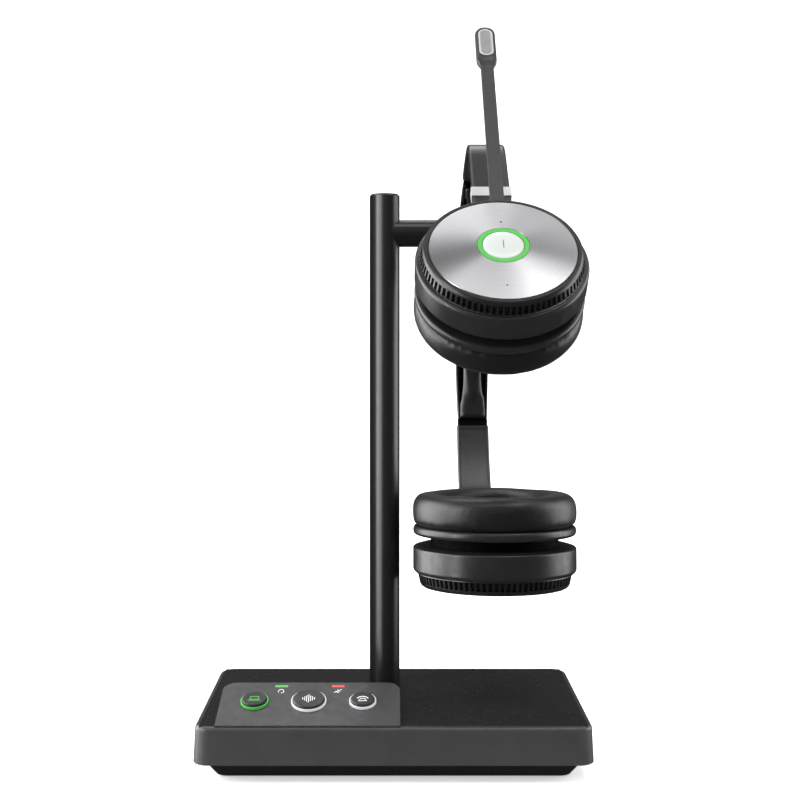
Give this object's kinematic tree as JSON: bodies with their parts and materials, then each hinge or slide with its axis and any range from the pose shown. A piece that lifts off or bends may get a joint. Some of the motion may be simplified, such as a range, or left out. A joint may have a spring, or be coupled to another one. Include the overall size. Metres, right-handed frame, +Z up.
{
  "type": "office headset",
  "caption": "Wireless stereo headset with a boom microphone, hung on the side arm of a charging stand whose rectangular base has a sloping button panel.",
  "frame": {"origin": "centre of the underside of the base's anti-slip pad", "axes": "+Z up along the pole, -Y towards the user and the button panel, +X towards the free end of the support arm"},
  "size_m": [0.145, 0.1888, 0.2944],
  "materials": {
    "base_plastic": "satin",
    "panel_plastic": "satin",
    "piano_black": "gloss",
    "black_plastic": "matt",
    "anti_slip_rubber": "matt",
    "steel": "brushed",
    "circuit_board": "satin",
    "pole_black": "gloss",
    "contact_gold": "polished",
    "green_light": "frosted, lit",
    "red_light": "frosted, lit",
    "white_light": "frosted, lit",
    "button_black": "satin",
    "band_plastic": "satin",
    "leatherette": "soft grain",
    "white_plastic": "satin",
    "cup_plastic": "satin",
    "ribbed_plastic": "satin, ribbed",
    "spun_metal": "spun",
    "speaker_black": "matt",
    "speaker_fabric": "open weave",
    "battery_wrap": "wrapped",
    "boom_plastic": "satin",
    "mesh_metal": "fine mesh"
  },
  "bodies": {
    "stand": {"base_housing": "base_plastic", "base_top_plate": "piano_black", "control_panel": "panel_plastic", "base_bottom_cover": "black_plastic", "anti_slip_pad": "anti_slip_rubber", "ballast_plate": "steel", "main_board": "circuit_board", "button_switches": "black_plastic", "rear_ports": "steel", "base_screws": "steel", "stand_pole": "pole_black", "pole_top_cap": "pole_black", "pole_fixing_screw": "steel", "support_arm": "pole_black", "arm_end_cap": "pole_black", "charging_contacts": "contact_gold", "headset_led": "green_light", "mute_led": "red_light", "pc_light_skirt": "green_light", "white_light_skirts": "white_light"},
    "pc_key": {"pc_button": "button_black"},
    "center_key": {"center_button": "button_black"},
    "phone_key": {"phone_button": "button_black"},
    "headband": {"headband_shell": "band_plastic", "headband_spring": "steel", "headband_pad": "leatherette", "upper_arm": "band_plastic", "lower_arm": "band_plastic", "upper_arm_cover": "band_plastic", "lower_arm_cover": "band_plastic", "upper_accent_ring": "white_plastic", "lower_accent_ring": "white_plastic", "headset_contacts": "contact_gold"},
    "upper_slider": {"upper_slider_bar": "steel"},
    "lower_slider": {"lower_slider_bar": "steel"},
    "upper_cup": {"upper_yoke_pin": "steel", "upper_neck": "cup_plastic", "upper_flange": "cup_plastic", "upper_cushion": "leatherette", "upper_speaker": "speaker_black", "upper_speaker_cloth": "speaker_fabric", "upper_housing": "cup_plastic", "upper_disc": "spun_metal", "upper_led_ring": "green_light", "headset_board": "circuit_board"},
    "lower_cup": {"lower_yoke_pin": "steel", "lower_neck": "cup_plastic", "lower_flange": "cup_plastic", "lower_cushion": "leatherette", "lower_speaker": "speaker_black", "lower_speaker_cloth": "speaker_fabric", "lower_housing": "cup_plastic", "lower_cap_ring": "ribbed_plastic", "lower_disc": "spun_metal", "battery": "battery_wrap"},
    "boom": {"boom_ring": "ribbed_plastic", "mic_boom": "boom_plastic", "mic_head": "boom_plastic", "mic_grille": "mesh_metal"},
    "call_key": {"call_button": "white_plastic"}
  },
  "joints": [
    {"name": "headset_slide_off", "type": "slide", "parent": "stand", "child": "headband", "axis": [1, 0, 0], "range_m": [0, 0.09]},
    {"name": "upper_extend", "type": "slide", "parent": "headband", "child": "upper_slider", "axis": [0, -0.7193, -0.6947], "range_m": [0, 0.02]},
    {"name": "lower_extend", "type": "slide", "parent": "headband", "child": "lower_slider", "axis": [0, -1, 0], "range_m": [-0.015, 0.005]},
    {"name": "upper_tilt", "type": "hinge", "parent": "upper_slider", "child": "upper_cup", "pos_m": [0.0398, -0.00424, 0.19393], "axis": [1, 0, 0], "range_deg": [-6, 3]},
    {"name": "lower_tilt", "type": "hinge", "parent": "lower_slider", "child": "lower_cup", "pos_m": [0.0398, 0.0258, 0.079], "axis": [1, 0, 0], "range_deg": [-2, 8]},
    {"name": "boom_rotate", "type": "hinge", "parent": "upper_cup", "child": "boom", "pos_m": [0.0398, -0.01935, 0.17935], "axis": [0, 0.6947, -0.7193], "range_deg": [0, 300]},
    {"name": "call_press", "type": "slide", "parent": "upper_cup", "child": "call_key", "axis": [0, 0.6947, -0.7193], "range_m": [0, 0.0004], "stiffness_N_per_m": 400, "springref_m": -0.001},
    {"name": "pc_press", "type": "slide", "parent": "stand", "child": "pc_key", "axis": [0, 0.2672, -0.9636], "range_m": [0, 0.0007], "stiffness_N_per_m": 400, "springref_m": -0.001},
    {"name": "center_press", "type": "slide", "parent": "stand", "child": "center_key", "axis": [0, 0.2672, -0.9636], "range_m": [0, 0.0007], "stiffness_N_per_m": 400, "springref_m": -0.001},
    {"name": "phone_press", "type": "slide", "parent": "stand", "child": "phone_key", "axis": [0, 0.2672, -0.9636], "range_m": [0, 0.0007], "stiffness_N_per_m": 400, "springref_m": -0.001}
  ]
}
